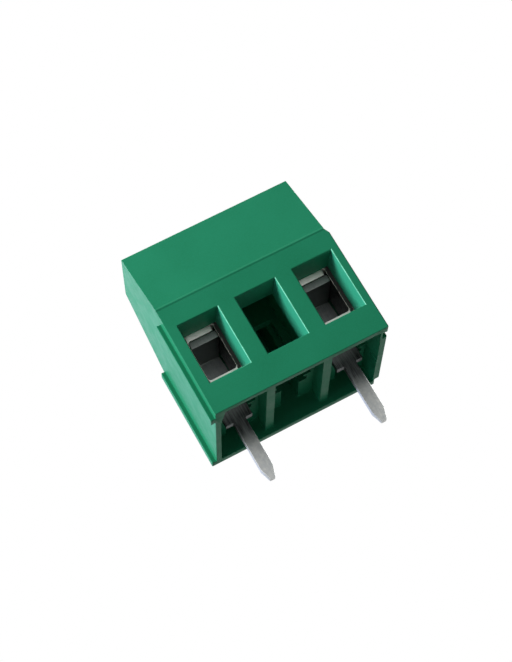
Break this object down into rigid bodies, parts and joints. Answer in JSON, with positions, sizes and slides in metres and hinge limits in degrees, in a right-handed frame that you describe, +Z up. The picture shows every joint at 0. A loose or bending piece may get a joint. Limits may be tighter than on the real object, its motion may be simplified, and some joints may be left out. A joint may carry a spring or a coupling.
{
  "type": "pcb terminal block",
  "caption": "Green board-mount terminal block with rectangular wire windows, a slanted upper front, rising-cage screw clamps in the end poles and an empty middle pole.",
  "frame": {"origin": "on the board's top surface, midway between the two solder pins, under the middle pole", "axes": "+X along the row of poles to the right as seen from the wire side, +Y from the wire side to the back, +Z up from the board"},
  "size_m": [0.0156, 0.0115, 0.0204],
  "materials": {
    "housing_pa66": "satin",
    "cage_steel": "plated",
    "screw_steel": "zinc plated",
    "contact_tin": "tinned, matte"
  },
  "bodies": {
    "block": {"housing": "housing_pa66", "contact_left": "contact_tin", "contact_right": "contact_tin"},
    "left_screw": {"screw_left": "screw_steel"},
    "left_cage": {"cage_left": "cage_steel"},
    "right_screw": {"screw_right": "screw_steel"},
    "right_cage": {"cage_right": "cage_steel"}
  },
  "joints": [
    {"name": "left_screw_turn", "type": "hinge", "parent": "block", "child": "left_screw", "pos_m": [-0.00508, -0.00252, 0.012], "axis": [0, 0, -1], "range_deg": [0, 2340]},
    {"name": "left_cage_lift", "type": "slide", "parent": "block", "child": "left_cage", "axis": [0, 0, 1], "range_m": [0, 0.00293]},
    {"name": "right_screw_turn", "type": "hinge", "parent": "block", "child": "right_screw", "pos_m": [0.00508, -0.00252, 0.012], "axis": [0, 0, -1], "range_deg": [0, 2340]},
    {"name": "right_cage_lift", "type": "slide", "parent": "block", "child": "right_cage", "axis": [0, 0, 1], "range_m": [0, 0.00293]}
  ],
  "couplings": [
    {"joint": "left_screw_turn", "follows": "left_cage_lift", "rad_per_m": 13963},
    {"joint": "right_screw_turn", "follows": "right_cage_lift", "rad_per_m": 13963}
  ]
}
